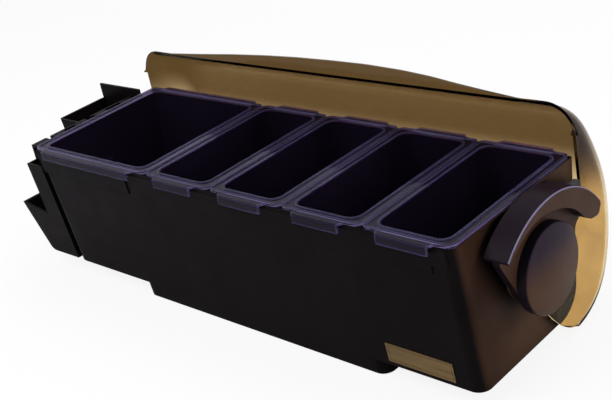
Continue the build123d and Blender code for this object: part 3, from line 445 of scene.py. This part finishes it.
def build_lid():
    outer = through(OUTLINE, OUTLINE_POINTS) * LID_R
    flat = through(FLAT, OUTLINE_POINTS) * LID_R
    rows = []
    for i in range(ROUND_STEPS + 1):
        a = math.pi / 2 * (1 - i / ROUND_STEPS)
        rows.append((-(LID_X - ROUND_X * (1 - math.sin(a))), outer + (flat - outer) * (1 - math.cos(a))))
    inner_x = LID_X - ROUND_X
    for i in range(1, LENGTH_STEPS):
        rows.append((-inner_x + 2 * inner_x * i / LENGTH_STEPS, outer))
    rows += [(-x, pts) for x, pts in reversed(rows[:ROUND_STEPS + 1])]
    bm = bmesh.new()
    grid = []
    for x, pts in rows:
        line = []
        height = lip_height(x)
        for k in range(LIP_ROWS, 0, -1):
            up = height * k / LIP_ROWS
            line.append(bm.verts.new((x, pts[0][0] + up * LIP_LEAN, PIVOT_Z + pts[0][1] + up)))
        line += [bm.verts.new((x, y, PIVOT_Z + z)) for y, z in pts]
        grid.append(line)
    for a, b in zip(grid[:-1], grid[1:]):
        for k in range(len(a) - 1):
            bm.faces.new((a[k], a[k + 1], b[k + 1], b[k]))
    hole = []
    for i in range(HOLE_POINTS):
        a = 2 * math.pi * i / HOLE_POINTS
        hole.append((BUSH_HOLE * math.cos(a), BUSH_HOLE * math.sin(a)))
    lobe = [tuple(v) for v in through(LOBE, LOBE_POINTS) * LID_R]
    border = [tuple(v) for v in flat] + list(reversed(lobe))
    pts2 = [Vector(v) for v in border + hole]
    n = len(border)
    edges = [(i, (i + 1) % n) for i in range(n)]
    edges += [(n + i, n + (i + 1) % HOLE_POINTS) for i in range(HOLE_POINTS)]
    verts, _, faces, _, _, _ = delaunay_2d_cdt(pts2, edges, [], 0, 1e-6)
    inside = np.array(border)

    def within(p, poly):
        x, y = p
        hit = False
        j = len(poly) - 1
        for i in range(len(poly)):
            (xi, yi), (xj, yj) = poly[i], poly[j]
            if (yi > y) != (yj > y) and x < (xj - xi) * (y - yi) / (yj - yi) + xi:
                hit = not hit
            j = i
        return hit

    for sign in (-1, 1):
        made = [bm.verts.new((sign * LID_X, v.x, PIVOT_Z + v.y)) for v in verts]
        for f in faces:
            c = sum((verts[i] for i in f), Vector((0, 0))) / len(f)
            if within(c, inside) and c.length > BUSH_HOLE * 0.999:
                bm.faces.new([made[i] for i in f])
    bmesh.ops.remove_doubles(bm, verts=bm.verts, dist=2e-6)
    loose = [v for v in bm.verts if not v.link_faces]
    bmesh.ops.delete(bm, geom=loose, context="VERTS")
    obj = finish_mesh("smoked_lid", bm)
    probe = max(obj.data.polygons, key=lambda f: f.center.y)
    if probe.normal.y < 0:
        obj.data.flip_normals()
    solid = obj.modifiers.new("wall", "SOLIDIFY")
    solid.thickness = LID_T
    solid.offset = -1.0
    solid.use_even_offset = True
    soft = obj.modifiers.new("edge", "BEVEL")
    soft.width = EDGE_R
    soft.segments = 2
    soft.limit_method = "ANGLE"
    soft.angle_limit = math.radians(SHARP_ANGLE)
    apply_modifiers(obj, SHARP_ANGLE)
    # The wall's inside edge is cut back level with the front of the ends, so that the inserts lift past it.
    front_y = OUTLINE[0][0] * LID_R + FRONT_GAP
    low_z = PIVOT_Z + LOBE[0][1] * LID_R + FRONT_CUT_ABOVE
    for v in obj.data.vertices:
        if v.co.z > low_z and front_y - FRONT_CUT < v.co.y < front_y:
            share = min(max((abs(v.co.x) - FRONT_CUT_X) / FRONT_CUT_FADE, 0.0), 1.0)
            v.co.y += (front_y - v.co.y) * share
    obj.data.materials.append(MATS["smoked"])
    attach(obj, "lid")
    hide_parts("dome_lid", "dome_end_right", "dome_end_left")


build_lid()


# Floor, light and background
FLOOR_HALF = 6.0
FLOOR_DROP = 0.0002
FLOOR_GREY = (0.86, 0.86, 0.86, 1.0)
FLOOR_WHITE_SHARE = 0.88
WHITE = (1.0, 1.0, 1.0, 1.0)
FILL_COLOUR = (0.93, 0.95, 1.0, 1.0)
FILL_STRENGTH = 0.55


def make_floor():
    bm = bmesh.new()
    bmesh.ops.create_grid(bm, x_segments=1, y_segments=1, size=FLOOR_HALF)
    mesh = bpy.data.meshes.new("floor")
    bm.to_mesh(mesh)
    bm.free()
    floor = bpy.data.objects.new("floor", mesh)
    floor.location = (0.0, 0.0, -FLOOR_DROP)
    bpy.context.scene.collection.objects.link(floor)
    m = bpy.data.materials.new("floor")
    m.use_nodes = True
    nt = m.node_tree
    nt.nodes.clear()
    out = nt.nodes.new("ShaderNodeOutputMaterial")
    diff = nt.nodes.new("ShaderNodeBsdfDiffuse")
    diff.inputs["Color"].default_value = FLOOR_GREY
    emit = nt.nodes.new("ShaderNodeEmission")
    emit.inputs["Color"].default_value = WHITE
    emit.inputs["Strength"].default_value = 1.0
    path = nt.nodes.new("ShaderNodeLightPath")
    seen = nt.nodes.new("ShaderNodeMath")
    seen.operation = "MAXIMUM"
    nt.links.new(path.outputs["Is Camera Ray"], seen.inputs[0])
    nt.links.new(path.outputs["Is Transmission Ray"], seen.inputs[1])
    part = nt.nodes.new("ShaderNodeMath")
    part.operation = "MULTIPLY"
    part.inputs[1].default_value = FLOOR_WHITE_SHARE
    nt.links.new(seen.outputs[0], part.inputs[0])
    mix = nt.nodes.new("ShaderNodeMixShader")
    nt.links.new(part.outputs[0], mix.inputs["Fac"])
    nt.links.new(diff.outputs[0], mix.inputs[1])
    nt.links.new(emit.outputs[0], mix.inputs[2])
    nt.links.new(mix.outputs[0], out.inputs["Surface"])
    mesh.materials.append(m)


def make_world():
    w = bpy.data.worlds.new("studio")
    bpy.context.scene.world = w
    w.use_nodes = True
    nt = w.node_tree
    nt.nodes.clear()
    out = nt.nodes.new("ShaderNodeOutputWorld")
    fill = nt.nodes.new("ShaderNodeBackground")
    fill.inputs["Color"].default_value = FILL_COLOUR
    fill.inputs["Strength"].default_value = FILL_STRENGTH
    white = nt.nodes.new("ShaderNodeBackground")
    white.inputs["Color"].default_value = WHITE
    white.inputs["Strength"].default_value = 1.0
    path = nt.nodes.new("ShaderNodeLightPath")
    a = nt.nodes.new("ShaderNodeMath")
    a.operation = "MAXIMUM"
    nt.links.new(path.outputs["Is Camera Ray"], a.inputs[0])
    nt.links.new(path.outputs["Is Transmission Ray"], a.inputs[1])
    b = nt.nodes.new("ShaderNodeMath")
    b.operation = "MAXIMUM"
    nt.links.new(a.outputs[0], b.inputs[0])
    nt.links.new(path.outputs["Is Glossy Ray"], b.inputs[1])
    mix = nt.nodes.new("ShaderNodeMixShader")
    nt.links.new(b.outputs[0], mix.inputs["Fac"])
    nt.links.new(fill.outputs[0], mix.inputs[1])
    nt.links.new(white.outputs[0], mix.inputs[2])
    nt.links.new(mix.outputs[0], out.inputs["Surface"])


def area(name, at, aim, size, power, colour):
    data = bpy.data.lights.new(name, "AREA")
    data.shape = "RECTANGLE"
    data.size, data.size_y = size
    data.energy = power
    data.color = colour
    lamp = bpy.data.objects.new(name, data)
    bpy.context.scene.collection.objects.link(lamp)
    lamp.location = at
    lamp.rotation_euler = (Vector(aim) - Vector(at)).to_track_quat("-Z", "Y").to_euler()


make_floor()
make_world()
area("key", (-0.3, -0.9, 1.5), (0.0, 0.0, 0.1), (1.2, 0.8), 14.0, (1.0, 0.98, 0.95))
area("top", (0.2, 0.5, 1.6), (0.0, 0.0, 0.1), (1.4, 0.6), 10.0, (0.86, 0.86, 1.0))
area("right", (1.4, 0.3, 0.7), (0.24, 0.0, 0.1), (0.7, 0.7), 6.0, (1.0, 0.9, 0.8))
